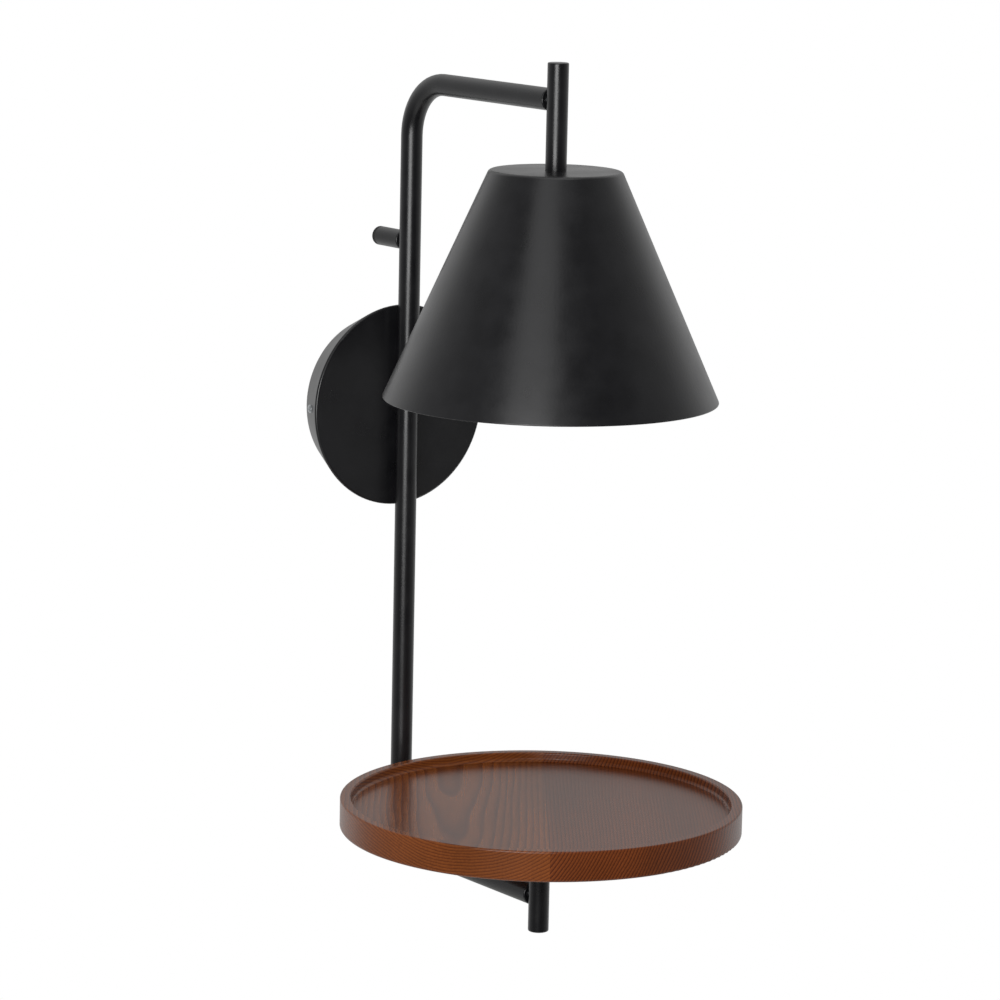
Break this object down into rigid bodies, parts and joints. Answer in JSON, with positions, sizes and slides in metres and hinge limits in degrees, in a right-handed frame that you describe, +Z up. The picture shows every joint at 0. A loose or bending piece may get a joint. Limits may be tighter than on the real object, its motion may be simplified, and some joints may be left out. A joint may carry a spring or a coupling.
{
  "type": "wall lamp with tray",
  "caption": "Wall lamp: a round wall canopy carries a bent tube frame whose top arm holds a cone shade over a bulb and whose lower arm holds a round wooden tray.",
  "frame": {"origin": "middle of the wall bracket's two slots, on the wall plane, which is also the middle of the canopy's back", "axes": "-Y out of the wall towards the room, +Y into the wall, +Z up along the upright, X along the wall"},
  "size_m": [0.231, 0.2889, 0.5],
  "materials": {
    "black_coat": "satin black powder coat",
    "shade_coat": "satin black outside, white inside",
    "zinc_steel": "zinc plated",
    "brass": "plain",
    "nickel": "bulb cap, matt",
    "white_plastic": "matt",
    "black_plastic": "matt",
    "ceramic": "glazed ceramic",
    "black_glass": "black glass",
    "rubber": "matt",
    "opal_glass": "opal",
    "wire_brown": "wire insulation",
    "wire_blue": "wire insulation",
    "wire_green": "wire insulation",
    "wood": "stained, satin lacquer"
  },
  "bodies": {
    "lamp": {"wall_bracket": "zinc_steel", "canopy_cover": "black_coat", "side_screws": "zinc_steel", "canopy_nipple": "zinc_steel", "canopy_nut": "zinc_steel", "spread_washer": "zinc_steel", "saddle_spacer": "black_coat", "terminal_block": "white_plastic", "terminal_barrels": "brass", "terminal_screws": "zinc_steel", "block_screw": "zinc_steel", "earth_tag": "brass", "earth_screw": "brass", "earth_wire": "wire_green", "live_wire": "wire_brown", "neutral_wire": "wire_blue", "upright_tube": "black_coat", "top_end_plug": "black_coat", "low_end_plug": "black_coat", "top_joint_stud": "zinc_steel", "low_joint_stud": "zinc_steel", "wall_peg": "black_coat", "peg_stud": "zinc_steel", "wall_bumper": "rubber", "lamp_stem": "black_coat", "stem_cap": "black_coat", "shade": "shade_coat", "shade_nipple": "zinc_steel", "holder_washer": "zinc_steel", "holder_cap": "black_plastic", "holder_barrel": "black_plastic", "holder_core": "ceramic", "holder_posts": "brass", "screw_shell": "brass", "centre_contact": "brass", "tray_stub": "black_coat", "stub_cap": "black_coat", "tray_plate": "black_coat", "tray_screws": "zinc_steel", "tray": "wood"},
    "bulb_lift": {"bulb_tip": "nickel"},
    "bulb": {"bulb_cap": "nickel", "bulb_insulator": "black_glass", "bulb_glass": "opal_glass"}
  },
  "joints": [
    {"name": "bulb_sink", "type": "slide", "parent": "lamp", "child": "bulb_lift", "axis": [0, 0, -1], "range_m": [0, 0.0181]},
    {"name": "bulb_turn", "type": "hinge", "parent": "bulb_lift", "child": "bulb", "pos_m": [0, -0.17335, 0.1], "axis": [0, 0, -1], "range_deg": [0, 1800]}
  ],
  "couplings": [
    {"joint": "bulb_turn", "follows": "bulb_sink", "rad_per_m": 1731.4}
  ]
}
